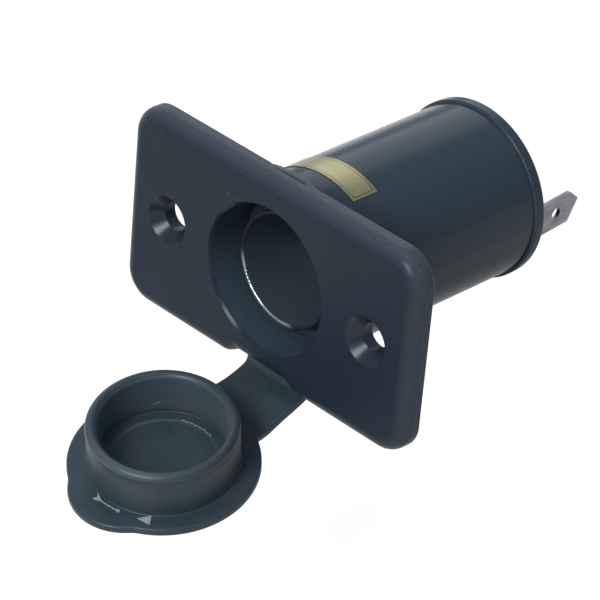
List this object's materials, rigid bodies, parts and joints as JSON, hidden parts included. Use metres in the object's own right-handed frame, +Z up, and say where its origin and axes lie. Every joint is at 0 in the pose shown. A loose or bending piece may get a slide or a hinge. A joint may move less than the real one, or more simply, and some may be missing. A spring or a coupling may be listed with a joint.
{
  "type": "12 volt power socket",
  "caption": "Panel-mount 12 volt accessory socket: oblong face plate with screw holes, round tube, blade terminals and a soft dust cap on a strap.",
  "frame": {"origin": "on the socket's axis, in the back face of the plate, which seats on the panel", "axes": "+Y back along the tube, +X along the plate to the right as seen from the front, +Z up"},
  "size_m": [0.0722, 0.1098, 0.0551],
  "materials": {
    "plate_plastic": "moulded with a fine grain, satin",
    "tube_plastic": "smooth moulded, glossy",
    "plated_steel": "nickel plated, bright",
    "brass": "turned, bright",
    "fibre": "vulcanised fibre, matt",
    "nylon": "natural nylon, matt",
    "zinc_steel": "zinc plated",
    "tinned_brass": "tin plated, satin",
    "gold_foil": "gold coloured polyester foil",
    "soft_pvc": "soft moulded, satin"
  },
  "bodies": {
    "socket": {"face_plate": "plate_plastic", "housing_sleeve": "tube_plastic", "rear_cap": "tube_plastic", "socket_barrel": "plated_steel", "contact_stud": "brass", "inner_washer": "fibre", "insulating_bush": "nylon", "plain_washer": "zinc_steel", "spring_washer": "zinc_steel", "stud_nut": "zinc_steel", "ground_tab": "tinned_brass", "positive_tab": "tinned_brass", "ground_rivet": "zinc_steel", "foil_label": "gold_foil", "strap_ring": "soft_pvc"},
    "strap": {"strap_link": "soft_pvc"},
    "dust_cap": {"cap": "soft_pvc"}
  },
  "joints": [
    {"name": "strap_bend", "type": "hinge", "parent": "socket", "child": "strap", "pos_m": [0, 0.00005, -0.02519], "axis": [1, 0, 0], "range_deg": [-45, 78], "stiffness_Nm_per_rad": 0.012, "springref_deg": -5.16},
    {"name": "cap_bend", "type": "hinge", "parent": "strap", "child": "dust_cap", "pos_m": [0, -0.00637, -0.02473], "axis": [0.9956, 0.0898, -0.0274], "range_deg": [-56.3, 0], "stiffness_Nm_per_rad": 0.012}
  ]
}
